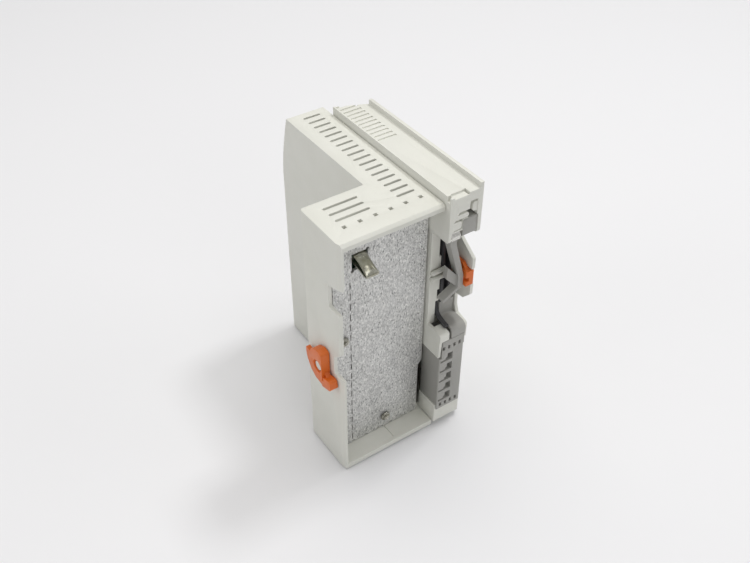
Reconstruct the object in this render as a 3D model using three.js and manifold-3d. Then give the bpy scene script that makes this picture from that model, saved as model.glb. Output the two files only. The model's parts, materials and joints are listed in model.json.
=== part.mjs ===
// Programmable controller for a 35 mm top-hat rail, with a slim supply module joined to its side.
// Millimetres. X runs across the width from the controller to the supply module, Y from the rail
// side to the front panel and Z up, with the unit standing on its lower end.
import * as THREE from 'three';
import { mergeVertices } from 'three/addons/utils/BufferGeometryUtils.js';
import Module from 'manifold-3d';

const wasm = await Module();
wasm.setup();

// ---------------------------------------------------------------- driving dimensions
const controllerWidth = 35.85;
const moduleWidth = 11.85; // supply module
const unitGap = 0.3; // between the two housings, and between parts that touch
const bodyHeight = 94.7; // controller housing without its feet
const footHeight = 0.8;
const bodyDepth = 71.5; // rail side to front panel
const shelfDepth = 21.2; // low part that carries the field connector
const towerWidth = 14.1; // tall part that carries the front panel
const wall = 2;
const sideRim = 1.2; // left wall beside the shield plate
const rimBevelDepth = 2.2; // long bevel on the rear left edge
const rimFlat = 0.6; // what the bevel leaves of the rim
const browBevel = 0.9; // on the rear edge of the top
const topRim = 2.3;
const bottomRim = 2;
const frontCurveDrop = 34.7; // from the top down to where the front panel starts to lean back
const frontCurveRadius = 119;
const screwMargin = 1.9; // side screw to the rim

const railWidth = 35;
const railDrop = 35; // from the top of the controller down to the middle of the rail
const railGripHeight = 9.6; // height of the notch that takes the upper rail flange
const railGripDepth = 7;
const lowGripHeight = 6.6;
const lowGripDepth = 5;
const railPlay = 0.6;

const plateRecess = 7;
const plateThickness = 1;
const seatWidth = 1.5; // ledge that the shield plate rests on

const moduleFloor = 2.4;
const moduleRise = 2.7; // top of the module above the controller's
const ridgeHeight = 1.8;
const ridgeWidth = 1.13;
const moduleWall = 1;
const moduleProud = 2.17; // supply module behind the controller's rail side
const moduleFront = 67;
const moduleTopFront = 60.6; // front end of the flat top

const ventWidth = 1;
const ventCount = 17;
const ventLength = 6.4;
const firstVent = 10.9; // rearmost vent of the tower
const frontVentMargin = 8.4; // foremost vent behind the front panel

const discBore = 1.9;
const discPlay = 0.3;
const discThickness = 3.1;
const discFlangeRadius = 8.7;
const discY = 9.6;
const discRise = 1; // axis of the disc above the lower edge of the rail

const rotorRadius = 3;
const rotorPlay = 0.3;
const switchSize = 9.6;

const flapHeight = 32;
const flapWidth = 9.1;
const flapThickness = 1.6;
const flapBottom = 20.2;
const hingePinRadius = 0.5;
const hingePlay = 0.15;

const keyTravel = 0.8; // reset key
const sliderTravel = 1.8; // mode slider, either way from its middle
const releaseTravel = 3;
const catchTravel = 2.5;

// ---------------------------------------------------------------- derived places
const floorZ = footHeight;
const topZ = footHeight + bodyHeight;
const moduleTop = topZ + moduleRise;
const railMiddle = topZ - railDrop;
const towerLeft = controllerWidth - towerWidth;
const moduleLeft = controllerWidth + unitGap;
const moduleRight = moduleLeft + moduleWidth;
const railTop = railMiddle + railWidth / 2;
const railBottom = railMiddle - railWidth / 2;
const discZ = railBottom + discRise;
const plateSeat = plateRecess + plateThickness + unitGap;
const rightWall = 1.25;
const towerInnerLeft = towerLeft + wall;
const towerInnerRight = controllerWidth - rightWall;
const shelfInner = shelfDepth - wall;
const shelfMiddle = towerLeft / 2;
const ventPitch = (bodyDepth - frontVentMargin - firstVent) / (ventCount - 1);
const baseBoardFace = plateSeat + 4.3; // side of the base board that carries its parts
const boardThickness = 1.6;
const mainBoardLeft = controllerWidth - 7.85;
const mainBoardRight = mainBoardLeft + boardThickness;
const boardFront = bodyDepth - 9.5; // front edge of the main board

// ---------------------------------------------------------------- finishes
const finishes = {
  housing: { color: 0xd6d5cd, roughness: 0.55, metalness: 0 },
  insert: { color: 0x8d8e8c, roughness: 0.55, metalness: 0 },
  darkInsert: { color: 0x4c4d4e, roughness: 0.6, metalness: 0 },
  orange: { color: 0xd66c28, roughness: 0.5, metalness: 0 },
  zinc: { color: 0xb3b6b8, roughness: 0.45, metalness: 0.9 },
  steel: { color: 0xc4c4c0, roughness: 0.3, metalness: 1 },
  copper: { color: 0xb87048, roughness: 0.35, metalness: 1 },
  board: { color: 0x1f5a3c, roughness: 0.6, metalness: 0 },
  chip: { color: 0x1c1c1e, roughness: 0.5, metalness: 0 },
  lens: { color: 0xe4e6e2, roughness: 0.2, metalness: 0 },
};

// ---------------------------------------------------------------- shape helpers
// Turns a three.js geometry into a manifold solid.
function solid(geometry) {
  const bare = geometry.clone();
  bare.deleteAttribute('normal');
  bare.deleteAttribute('uv');
  const merged = mergeVertices(bare, 1e-5);
  return new wasm.Manifold(new wasm.Mesh({
    numProp: 3,
    vertProperties: new Float32Array(merged.attributes.position.array),
    triVerts: new Uint32Array(merged.index.array),
  }));
}

// Turns a manifold solid back into a three.js geometry.
function geometryOf(body) {
  const mesh = body.getMesh();
  const geometry = new THREE.BufferGeometry();
  geometry.setAttribute('position', new THREE.BufferAttribute(new Float32Array(mesh.vertProperties), 3));
  geometry.setIndex(new THREE.BufferAttribute(new Uint32Array(mesh.triVerts), 1));
  geometry.computeVertexNormals();
  return geometry;
}

// A closed outline through [a, b, radius] corners; a corner with a radius is rounded by a few chords.
function roundedOutline(corners, chords = 4) {
  const points = [];
  corners.forEach(([a, b, radius = 0], index) => {
    if (radius === 0) {
      points.push(new THREE.Vector2(a, b));
      return;
    }
    const corner = new THREE.Vector2(a, b);
    const before = corners[(index + corners.length - 1) % corners.length];
    const after = corners[(index + 1) % corners.length];
    const back = new THREE.Vector2(before[0], before[1]).sub(corner).normalize();
    const ahead = new THREE.Vector2(after[0], after[1]).sub(corner).normalize();
    const half = Math.acos(THREE.MathUtils.clamp(back.dot(ahead), -1, 1)) / 2;
    const middle = back.clone().add(ahead).normalize().multiplyScalar(radius / Math.sin(half));
    const centre = corner.clone().add(middle);
    const start = corner.clone().addScaledVector(back, radius / Math.tan(half)).sub(centre);
    const end = corner.clone().addScaledVector(ahead, radius / Math.tan(half)).sub(centre);
    const turn = Math.atan2(start.cross(end), start.dot(end));
    for (let k = 0; k <= chords; k += 1) {
      points.push(start.clone().rotateAround(new THREE.Vector2(), (turn * k) / chords).add(centre));
    }
  });
  return points;
}

function prism(points, length) {
  return new THREE.ExtrudeGeometry(new THREE.Shape(points), { depth: length, bevelEnabled: false });
}

// Prisms along each axis: outlines are (X, Y) for Z, (Y, Z) for X and (X, Z) for Y.
function prismZ(points, low, high) {
  return solid(prism(points, high - low).translate(0, 0, low));
}

function prismX(points, low, high) {
  const turn = new THREE.Matrix4().set(0, 0, 1, low, 1, 0, 0, 0, 0, 1, 0, 0, 0, 0, 0, 1);
  return solid(prism(points, high - low).applyMatrix4(turn));
}

function prismY(points, low, high) {
  const swapped = points.map((point) => new THREE.Vector2(point.y, point.x));
  const turn = new THREE.Matrix4().set(0, 1, 0, 0, 0, 0, 1, low, 1, 0, 0, 0, 0, 0, 0, 1);
  return solid(prism(swapped, high - low).applyMatrix4(turn));
}

function outline(...corners) {
  return roundedOutline(corners);
}

// A block between two corners.
function block([x0, y0, z0], [x1, y1, z1]) {
  const box = new THREE.BoxGeometry(x1 - x0, y1 - y0, z1 - z0);
  return solid(box.translate((x0 + x1) / 2, (y0 + y1) / 2, (z0 + z1) / 2));
}

// A cylinder along one axis, from low to high on that axis, through the other two coordinates.
function rod(axis, radius, low, high, first, second, sides = 20) {
  const cylinder = new THREE.CylinderGeometry(radius, radius, high - low, sides);
  const middle = (low + high) / 2;
  if (axis === 'x') cylinder.rotateZ(-Math.PI / 2).translate(middle, first, second);
  if (axis === 'y') cylinder.translate(first, middle, second);
  if (axis === 'z') cylinder.rotateX(Math.PI / 2).translate(first, second, middle);
  return solid(cylinder);
}

// A strip of even thickness that follows a list of (Y, Z) points, drawn out along X.
function ribbon(path, thickness, low, high) {
  const half = thickness / 2;
  const sides = [[], []];
  path.forEach((point, index) => {
    const before = path[Math.max(index - 1, 0)];
    const after = path[Math.min(index + 1, path.length - 1)];
    const along = new THREE.Vector2(after[0] - before[0], after[1] - before[1]).normalize();
    sides[0].push(new THREE.Vector2(point[0] - along.y * half, point[1] + along.x * half));
    sides[1].push(new THREE.Vector2(point[0] + along.y * half, point[1] - along.x * half));
  });
  return prismX([...sides[0], ...sides[1].reverse()], low, high);
}

// Points of an arc about (a, b), angles in degrees.
function arc(a, b, radius, from, to, steps) {
  return Array.from({ length: steps + 1 }, (_, k) => {
    const angle = THREE.MathUtils.degToRad(from + ((to - from) * k) / steps);
    return [a + radius * Math.cos(angle), b + radius * Math.sin(angle)];
  });
}

function joined(...bodies) {
  return bodies.reduce((total, body) => total.add(body));
}

function cut(body, ...tools) {
  return body.subtract(joined(...tools));
}

const unit = new THREE.Group();

function addPart(name, body, finish) {
  const mesh = new THREE.Mesh(geometryOf(body), new THREE.MeshStandardMaterial(finishes[finish]));
  mesh.name = name;
  unit.add(mesh);
}

// ---------------------------------------------------------------- controller housing
// Side outline of the controller, drawn inwards by an inset; the front leans back on one arc.
function sideOutline(inset, rear) {
  const centreY = bodyDepth - frontCurveRadius;
  const radius = frontCurveRadius - inset;
  const curveStart = topZ - frontCurveDrop;
  const lean = THREE.MathUtils.radToDeg(Math.asin((topZ - inset - curveStart) / radius));
  const front = arc(centreY, curveStart, radius, 0, lean, 8).map(([y, z]) => new THREE.Vector2(y, z));
  return [
    new THREE.Vector2(rear, floorZ + inset),
    new THREE.Vector2(bodyDepth - inset, floorZ + inset),
    ...front,
    new THREE.Vector2(rear, topZ - inset),
  ];
}

// Height-wise notches in a side wall that let the rail flanges in behind it.
function railNotches(x0, x1) {
  const upperEdge = railTop + railPlay;
  const upperStart = upperEdge - railGripHeight;
  const tabEnd = railBottom + lowGripHeight + 3.4;
  const tabSet = 1.2; // the tab between the notches stands back a little
  const shape = outline(
    [-1, railBottom - 0.2], [lowGripDepth, railBottom - 0.2, 0.6], [lowGripDepth, railBottom + lowGripHeight],
    [tabSet, tabEnd], [tabSet, upperStart, 0.4], [railGripDepth, upperStart, 0.8],
    [railGripDepth, upperEdge - 1.2, 0.8], [-1, upperEdge + 0.8],
  );
  return prismX(shape, x0, x1);
}

// A slot along X with round ends, cut straight down.
function ventSlot(x0, x1, y, z0, z1) {
  const half = ventWidth / 2;
  const right = arc(x1 - half, y, half, -90, 90, 4);
  const left = arc(x0 + half, y, half, 90, 270, 4);
  return prismZ([...right, ...left].map(([a, b]) => new THREE.Vector2(a, b)), z0, z1);
}

const ventRight = controllerWidth - 3.1;
const contactSlot = { low: floorZ + bottomRim + 1.2, high: floorZ + bottomRim + 23.4 }; // in the right wall
const screwHeadRadius = 1.7;
const screwHole = 1.3; // radius, through the plate
const bossRadius = 2.5;
const shieldScrews = [
  [20.7, floorZ + 7.6],
  [sideRim + screwHeadRadius + screwMargin, railMiddle - 8.4],
];
const fieldConnector = { x: shelfMiddle, z: floorZ + 27, bolt: 12.5, halfWidth: 4.2, halfHeight: 8.6 };
const addressSwitches = [topZ - 33.7, topZ - 15.7];
const bay = {
  x: (towerInnerLeft + 0.2 + towerInnerRight - 0.96) / 2,
  half: flapWidth / 2 + unitGap,
  low: flapBottom - 0.7,
  high: flapBottom + flapHeight + unitGap,
  face: bodyDepth - wall - unitGap,
};
const hinge = { y: bodyDepth - flapThickness / 2, z: flapBottom + 0.8 };
const lamp = { x: bay.x, half: 3.5, low: topZ - 31.5, high: topZ - 11.5, face: bodyDepth - 2.9 };
const releaseSlot = { low: moduleTop - 11.7, high: moduleTop - 7.2 };

function controllerHousing() {
  const plan = outline(
    [0, rimBevelDepth, 0.5], [sideRim - rimFlat, 0], [controllerWidth, 0], [controllerWidth, bodyDepth, 1],
    [towerLeft, bodyDepth, 1], [towerLeft, shelfDepth, 0.5], [0, shelfDepth, 1],
  );
  const outer = prismX(sideOutline(0, -1), -1, controllerWidth + 1).intersect(prismZ(plan, floorZ, topZ));
  const plateSpace = block(
    [sideRim, -1, floorZ + bottomRim], [controllerWidth + 1, plateSeat, topZ - topRim],
  );
  const shelfSpace = block(
    [sideRim + seatWidth, plateSeat - 0.1, floorZ + bottomRim + seatWidth],
    [towerInnerRight, shelfInner, topZ - topRim - seatWidth],
  );
  const towerSpace = prismX(sideOutline(wall, plateSeat - 0.1), towerInnerLeft, towerInnerRight)
    .subtract(block(
      [towerInnerLeft - 1, 0, 0], [towerInnerRight + 1, plateSeat + seatWidth, floorZ + bottomRim + seatWidth],
    ))
    .subtract(block(
      [towerInnerLeft - 1, 0, topZ - topRim - seatWidth], [towerInnerRight + 1, plateSeat + seatWidth, topZ],
    ));
  const brow = prismX(outline(
    [-1, topZ - 1 - browBevel], [browBevel, topZ], [browBevel, topZ + 1], [-1, topZ + 1],
  ), -1, controllerWidth + 1);
  const sideContacts = block(
    [towerInnerRight - 1, plateSeat - 0.1, contactSlot.low],
    [controllerWidth + 1, shelfInner - 4, contactSlot.high],
  );
  let body = cut(outer, plateSpace, shelfSpace, towerSpace, brow);

  // inside: screw bosses, stand-offs for the base board, and guides for the main board
  const inside = [];
  shieldScrews.forEach(([x, z]) => inside.push(rod('y', bossRadius, plateSeat, shelfDepth - 1, x, z, 16)));
  [floorZ + 16, topZ - 25.2].forEach((z) => {
    inside.push(rod('y', 1.3, baseBoardFace + unitGap, shelfDepth - 1, towerLeft - 3, z, 12));
  });
  [[mainBoardLeft - 1.1, mainBoardLeft - 0.3], [mainBoardLeft + 1.9, mainBoardLeft + 2.7]].forEach(([a, b]) => {
    inside.push(block([a, boardFront - 4, floorZ + 1], [b, bay.face + 1, floorZ + wall + 6]));
    inside.push(block([a, boardFront - 4, topZ - wall - 4], [b, boardFront + 1, topZ - 1]));
  });
  body = joined(body, ...inside);
  body = body.intersect(outer).subtract(brow);

  // outside: feet and the pivot that the locking disc turns on
  const feet = [[5, 2.2], [controllerWidth - 3, 1.6], [towerLeft + 3, bodyDepth - 3],
    [controllerWidth - 3, bodyDepth - 3]];
  const outside = feet.map(([x, y]) => block([x - 1.2, y - 1.2, 0], [x + 1.2, y + 1.2, floorZ + 0.5]));
  outside.push(rod('x', discBore - discPlay, -discThickness - discPlay + 0.4, 1, discY, discZ, 20));
  body = joined(body, ...outside);

  // openings
  const openings = [railNotches(-1, sideRim + 0.5), sideContacts];
  const cutDepth = wall + 0.4;
  for (let k = 0; k < ventCount; k += 1) {
    const y = firstVent + k * ventPitch;
    openings.push(ventSlot(ventRight - ventLength, ventRight, y, topZ - cutDepth - seatWidth, topZ + 1));
    openings.push(ventSlot(ventRight - ventLength, ventRight, y, floorZ - 1, floorZ + cutDepth + seatWidth));
  }
  for (let k = 0; k < 3; k += 1) {
    const y = 10.7 + k * ventPitch;
    openings.push(ventSlot(5.2, 17, y, topZ - topRim - seatWidth - 1, topZ + 1));
  }
  for (let k = 0; k < 6; k += 1) {
    const x = 5.94 + k * 5.25;
    openings.push(block(
      [x - 0.65, plateRecess - 0.6, topZ - topRim - 0.5], [x + 0.65, plateRecess + 0.7, topZ + 1],
    ));
  }
  shieldScrews.forEach(([x, z]) => {
    openings.push(rod('y', screwHole, plateSeat - 1, shelfInner - 1, x, z, 12));
  });
  const ledge = floorZ + bottomRim;
  const grooveX = shieldScrews[0][0];
  openings.push(block([grooveX - 0.3, 1.4, ledge - 0.4], [grooveX, plateSeat, ledge + 1]));
  const port = fieldConnector;
  openings.push(block(
    [port.x - port.halfWidth - 0.5, shelfInner - 1, port.z - port.halfHeight - 0.5],
    [port.x + port.halfWidth + 0.5, shelfDepth + 1, port.z + port.halfHeight + 0.5],
  ));
  [-1, 1].forEach((side) => {
    openings.push(rod('y', 1.6, shelfInner - 1, shelfDepth + 1, port.x, port.z + side * port.bolt, 12));
  });
  const half = switchSize / 2 + unitGap;
  addressSwitches.forEach((z) => {
    openings.push(block([port.x - half, shelfInner - 1, z - half], [port.x + half, shelfDepth + 1, z + half]));
  });
  openings.push(block([bay.x - bay.half, bay.face, bay.low], [bay.x + bay.half, bodyDepth + 1, bay.high]));
  const pinReach = bay.half + 1.2;
  openings.push(rod('x', hingePinRadius + hingePlay, bay.x - pinReach, bay.x + pinReach, hinge.y, hinge.z, 16));
  openings.push(block(
    [lamp.x - lamp.half - unitGap, lamp.face - 9, lamp.low - unitGap],
    [lamp.x + lamp.half + unitGap, bodyDepth + 1, lamp.high + unitGap],
  ));
  return cut(body, ...openings);
}

// ---------------------------------------------------------------- shield plate and earthing
const spring = { x0: 8.9, x1: 13.2, rear: 0.35, high: railTop + 5.9, low: railTop + 1.7 };

const tabPitch = 5.1; // tabs along the lower edge of the shield plate
const seamX = 7.5; // perforated fold line
const seamPitch = 4.2;

function shieldPlate() {
  const left = sideRim + unitGap;
  const right = controllerWidth - unitGap;
  const low = floorZ + bottomRim + unitGap;
  const high = topZ - topRim - unitGap;
  const shape = outline(
    [left, low], [right - 1.4, low], [right - 1.4, low + 22.5], [right, low + 24], [right, high],
    [24, high], [23, high - 2.4], [20, high - 2.4], [19, high], [left, high],
  );
  const tabGaps = [0, 1, 2, 3, 4, 5].map((k) => (
    block(
      [left + 0.6 + k * tabPitch, plateRecess - 1, low - 1], [left + 1.7 + k * tabPitch, plateSeat, low + 0.7],
    )
  ));
  const plate = prismY(shape, plateRecess, plateRecess + plateThickness);
  const holes = shieldScrews.map(([x, z]) => rod('y', screwHole, plateRecess - 1, plateSeat, x, z, 14));
  const window = block(
    [spring.x0 - 0.7, plateRecess - 1, spring.low - 1.2], [spring.x1 + 0.6, plateSeat, spring.high + 0.7],
  );
  const reliefs = [
    rod('y', 0.55, plateRecess - 1, plateSeat, spring.x0 - 0.5, spring.low - 1.4, 12),
    rod('y', 0.55, plateRecess - 1, plateSeat, spring.x1 + 0.5, spring.high + 0.8, 12),
  ];
  const seam = [];
  for (let z = low + seamPitch; z < spring.low - 3; z += seamPitch) {
    seam.push(block([seamX - 0.18, plateRecess - 1, z - seamPitch + 1.6], [seamX + 0.18, plateSeat, z]));
  }
  const body = cut(plate, ...holes, ...tabGaps, window, ...reliefs, ...seam);
  const tab = block(
    [spring.x0 + 0.5, plateRecess - 0.35, spring.high + 2], [spring.x1 - 0.9, plateRecess + 0.2, high - 4.4],
  );
  return joined(body, tab);
}

// Folded tongue that stands out to the rail: out along its upper leaf, round the tip and back inside.
function groundSpring() {
  const inner = plateRecess + plateThickness + 1.6;
  const { rear, high, low } = spring;
  const path = [
    [inner, high + 0.3], [plateRecess + 0.2, high - 0.2], [rear + 4.6, high - 1], [rear + 2.2, high - 1.9],
    [rear + 0.7, high - 2.6], [rear + 0.1, high - 3], [rear, high - 3.5], [rear + 0.5, low + 0.2],
    [rear + 2.4, low + 0.05], [plateRecess - 2, low], [plateRecess + 0.2, low], [inner, low + 0.2],
  ];
  return ribbon(path, 0.5, spring.x0, spring.x1);
}

function shieldScrew([x, z]) {
  const face = plateRecess - unitGap;
  const profile = [
    [0, 0], [screwHeadRadius, 0], [screwHeadRadius, 0.3], [screwHeadRadius - 0.45, 0.75],
    [screwHeadRadius - 0.6, 0.75], [screwHeadRadius - 0.75, 0.55], [0, 0.55],
  ];
  const head = new THREE.LatheGeometry(profile.map(([r, h]) => new THREE.Vector2(r, h)), 24);
  const turned = solid(head.rotateX(Math.PI).translate(x, face, z));
  const shank = rod('y', screwHole - unitGap, face - 0.1, shelfInner - 1.8, x, z, 12);
  const slot = 0.25;
  const cross = joined(
    block([x - 0.8, face - 2, z - slot], [x + 0.8, face - 0.2, z + slot]),
    block([x - slot, face - 2, z - 0.8], [x + slot, face - 0.2, z + 0.8]),
  );
  return cut(joined(turned, shank), cross);
}

// ---------------------------------------------------------------- circuit boards
const edgeSocket = { low: floorZ + 30, high: topZ - 24.7, left: mainBoardLeft - 2, right: mainBoardRight + 2 };

function baseBoard() {
  const rear = baseBoardFace - boardThickness;
  const left = shieldScrews[1][0] + bossRadius + unitGap;
  return block([left, rear, floorZ + 13], [towerInnerRight - unitGap, baseBoardFace, topZ - 5.5]);
}

function mainBoard() {
  const rear = baseBoardFace + 3;
  const low = floorZ + wall + unitGap;
  const high = topZ - wall - unitGap;
  const shape = outline(
    [rear, low + 2], [boardFront, low + 2], [boardFront, high - 2], [rear, high - 2],
  );
  return prismX(shape, mainBoardLeft, mainBoardRight);
}

function boardSocket() {
  const { low, high, left, right } = edgeSocket;
  const body = block([left, baseBoardFace + unitGap, low], [right, baseBoardFace + 7, high]);
  const groove = block(
    [mainBoardLeft - unitGap, baseBoardFace + 2.6, low - 1],
    [mainBoardRight + unitGap, baseBoardFace + 8, high + 1],
  );
  return cut(body, groove);
}

// A chip flat on the left face of the main board, with a marked corner.
function chip(y, z, width, height) {
  const face = mainBoardLeft - unitGap;
  const body = block([face - 1.6, y, z], [face, y + width, z + height]);
  return cut(body, rod('x', 0.6, face - 2, face - 1.3, y + 1.6, z + 1.6, 10));
}

function smoothingCapacitor() {
  const low = baseBoardFace + unitGap;
  const height = shelfInner - 1.3 - low;
  const z = fieldConnector.z + fieldConnector.bolt + 5.5;
  const profile = [
    [0, 0], [3.1, 0], [3.1, 0.8], [2.8, 1], [3.1, 1.2], [3.1, height - 0.4], [2.8, height], [0, height],
  ];
  const can = new THREE.LatheGeometry(profile.map(([r, h]) => new THREE.Vector2(r, h)), 20);
  return solid(can.translate(shelfMiddle, low, z));
}

// ---------------------------------------------------------------- field connector
// Outline of the plug face: a trapezium with round corners, wide side to the left.
function plugOutline(inset) {
  const { x, z, halfWidth, halfHeight } = fieldConnector;
  const w = halfWidth - inset;
  const h = halfHeight - inset;
  return outline(
    [x - w, z - h, 1.8], [x + w, z - h + 1, 1.8], [x + w, z + h - 1, 1.8], [x - w, z + h, 1.8],
  );
}

const connectorFace = shelfDepth + unitGap;
const shroudThickness = 0.5;

function connectorShroud() {
  const { x, z, bolt } = fieldConnector;
  const flange = prismY(outline(
    [x - 6.2, z - 15.4, 1.5], [x + 6.2, z - 15.4, 1.5], [x + 6.2, z + 15.4, 1.5], [x - 6.2, z + 15.4, 1.5],
  ), connectorFace, connectorFace + 0.9);
  const rim = prismY(plugOutline(0), connectorFace, connectorFace + 6);
  const holes = [-1, 1].map((side) => (
    rod('y', 1.6, connectorFace - 1, connectorFace + 2, x, z + side * bolt, 14)
  ));
  const inside = prismY(plugOutline(shroudThickness), connectorFace - 1, connectorFace + 7);
  return cut(joined(flange, rim), inside, ...holes);
}

function connectorInsert() {
  const { x, z } = fieldConnector;
  const body = prismY(plugOutline(shroudThickness + unitGap), baseBoardFace + unitGap, connectorFace + 5.4);
  const sockets = [];
  [[5, -1.4], [4, 1.4]].forEach(([count, across]) => {
    for (let k = 0; k < count; k += 1) {
      const offset = (k - (count - 1) / 2) * 2.76;
      sockets.push(rod('y', 0.55, connectorFace + 1, connectorFace + 7, x + across, z + offset, 8));
    }
  });
  return cut(body, ...sockets);
}

function standoff(side) {
  const { x, z, bolt } = fieldConnector;
  const face = connectorFace + 0.9 + unitGap;
  const centre = z + side * bolt;
  const nut = rod('y', 2.85, face, face + 5, x, centre, 6);
  const shank = rod('y', 1.3, shelfInner - 3, face + 0.1, x, centre, 12);
  return cut(joined(nut, shank), rod('y', 1.2, face + 1.5, face + 6, x, centre, 12));
}

// ---------------------------------------------------------------- address switches
function addressSwitchBody(z) {
  const half = switchSize / 2;
  const body = block(
    [shelfMiddle - half, baseBoardFace + unitGap, z - half], [shelfMiddle + half, shelfDepth - 0.2, z + half],
  );
  const well = rod('y', rotorRadius + rotorPlay, shelfDepth - 5, shelfDepth + 1, shelfMiddle, z, 32);
  return cut(body, well);
}

function addressRotor(z) {
  const body = rod('y', rotorRadius, shelfDepth - 4.7, shelfDepth - 0.4, shelfMiddle, z, 32);
  const driverSlot = block(
    [shelfMiddle - 0.5, shelfDepth - 1.5, z - rotorRadius + 0.6],
    [shelfMiddle + 0.5, shelfDepth, z + rotorRadius - 0.6],
  );
  const pointer = prismY(outline(
    [shelfMiddle - 1.3, z + 0.9], [shelfMiddle + 1.3, z + 0.9], [shelfMiddle, z + rotorRadius - 0.4],
  ), shelfDepth - 1.5, shelfDepth);
  return cut(body, driverSlot, pointer);
}

// ---------------------------------------------------------------- front panel
const portZ = flapBottom + 6.3;
const sliderZ = flapBottom + 16.8;
const keyZ = flapBottom + 26.8;
const keyRadius = 1.1;
const sliderHalf = 1.2;
const keyFace = bodyDepth - flapThickness - 2 * unitGap;

function serviceFlap() {
  const { x, half } = bay;
  const reach = half - unitGap;
  const body = block(
    [x - reach, bodyDepth - flapThickness, flapBottom], [x + reach, bodyDepth, flapBottom + flapHeight],
  );
  const pull = block(
    [x - 2, bodyDepth - 0.7, flapBottom + flapHeight - 1.6],
    [x + 2, bodyDepth + 1, flapBottom + flapHeight + 1],
  );
  const pins = rod('x', hingePinRadius, x - half - 0.8, x + half + 0.8, hinge.y, hinge.z, 16);
  return joined(cut(body, pull), pins);
}

function bayPanel() {
  const { x, face } = bay;
  const plate = block([towerInnerLeft + unitGap, face - wall, bay.low - 2.5],
    [towerInnerRight - unitGap, face, bay.high + 2.5]);
  const slotHalf = sliderHalf + sliderTravel + unitGap;
  return cut(
    plate,
    block([x - 3, face - 4, portZ - 4.9], [x + 3, face + 1, portZ + 4.9]),
    block([x - 1.4, face - 4, sliderZ - slotHalf], [x + 1.4, face + 1, sliderZ + slotHalf]),
    rod('y', keyRadius + unitGap, face - 4, face + 1, x, keyZ, 16),
  );
}

function servicePort() {
  const { x, face } = bay;
  const body = block([x - 2.7, boardFront + 0.9, portZ - 4.6], [x + 2.7, face + 0.2, portZ + 4.6]);
  const sockets = [-3, -1, 1, 3].map((step) => (
    block([x - 0.5, face - 3, portZ + step * 1.05 - 0.5], [x + 0.5, face + 1, portZ + step * 1.05 + 0.5])
  ));
  return cut(body, ...sockets);
}

function switchBlock() {
  const { x, face } = bay;
  const rear = boardFront + unitGap;
  const front = face - wall - unitGap;
  const slotHalf = sliderHalf + sliderTravel + unitGap;
  const body = block([x - 2.8, rear, sliderZ - 5], [x + 2.8, front, keyZ + 3]);
  return cut(
    body,
    block([x - 1.3, rear + 1.2, sliderZ - slotHalf], [x + 1.3, front + 1, sliderZ + slotHalf]),
    rod('y', keyRadius + unitGap, rear + 0.5, front + 1, x, keyZ, 16),
  );
}

function modeSlider() {
  const { x } = bay;
  const rear = boardFront + 2 * unitGap + 1.2;
  const body = block([x - 1, rear, sliderZ - sliderHalf], [x + 1, keyFace, sliderZ + sliderHalf]);
  const grips = [-0.6, 0.6].map((dz) => (
    block([x - 1.5, keyFace - 0.35, sliderZ + dz - 0.2], [x + 1.5, keyFace + 1, sliderZ + dz + 0.2])
  ));
  return cut(body, ...grips);
}

function resetKey() {
  return rod('y', keyRadius, boardFront + unitGap + 0.6 + keyTravel, keyFace, bay.x, keyZ, 20);
}

function lightGuide() {
  const { x, half, low, high, face } = lamp;
  const body = block([x - half, boardFront + unitGap, low], [x + half, face, high]);
  const lamps = [];
  [-1.7, 1.7].forEach((dx) => {
    for (let k = 0; k < 4; k += 1) {
      const z = low + ((k + 0.5) * (high - low)) / 4;
      lamps.push(rod('y', 1.1, face - 0.2, face + 0.4, x + dx, z, 14));
    }
  });
  return joined(body, ...lamps);
}

// ---------------------------------------------------------------- locking disc
// Flat towards the rail, round towards the front, with a crescent flange and a thick nose to turn it by.
function lockingDisc() {
  const outerX = -discThickness - discPlay;
  const innerX = -discPlay;
  const flat = discY - discBore - 0.5;
  const body = prismX(outline(
    [flat, discZ - 5, 0.5], [flat, discZ + 6.1, 0.9], [flat + 2.6, discZ + 6.6, 1.2],
    [discY + 3.4, discZ + 5, 1.6], [discY + 5, discZ + 0.8, 2], [discY + 4, discZ - 4, 1.8],
    [discY + 0.8, discZ - 6, 1.2],
  ), outerX, innerX);
  const rim = [[discY, discZ], ...arc(discY, discZ, discFlangeRadius, 6, -142, 14)];
  const flange = prismX(rim.map(([a, b]) => new THREE.Vector2(a, b)), outerX + 1.2, innerX - 0.4);
  const nose = prismX(outline(
    [discY - 7, discZ - 5.8, 1], [discY - 2, discZ - 7.4], [discY - 1.6, discZ - 3.8],
    [discY - 3.2, discZ - 3, 0.7], [discY - 6.4, discZ - 2.2, 0.9],
  ), outerX + 0.3, innerX);
  const bore = rod('x', discBore, outerX - 1, innerX + 1, discY, discZ, 20);
  const lead = rod('x', discBore + 0.35, outerX - 1, outerX + 0.35, discY, discZ, 20);
  return cut(joined(body, flange, nose), bore, lead);
}

// ---------------------------------------------------------------- supply module housing
const wallInner = moduleLeft + moduleWall;
const rightInner = moduleRight - ridgeWidth;
const pocketDepth = plateSeat + 0.7; // floor of the rail recess
const hoodLeft = moduleLeft + 4.8;
const blockLow = railTop + 3.9; // lower end of the block above the rail
const pocketEnd = railBottom + 0.5; // lower end of the rail recess
const carrierTop = railBottom - 2.4;
const carrierLow = moduleFloor + 6.4;
const lipTop = carrierLow + 1.9; // of the side wall beside the carrier
const lowProud = 1.5; // carrier and hood behind the controller's rail side
const lipProud = 0.7; // lower end of the module behind it
const cheekEdge = plateRecess - 1.4; // rear face of the thick left wall along the rail
const cheekRight = moduleLeft + 4.05;
const tailNotch = { right: moduleLeft + 2.75, high: railBottom + 9.7 }; // for the tail of the rail seat
const firstClamp = moduleFloor + 21;
const clampPitch = (moduleTop - 31.3 - firstClamp) / 3;
const clampRows = [0, 1, 2, 3].map((k) => firstClamp + k * clampPitch);
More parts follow.
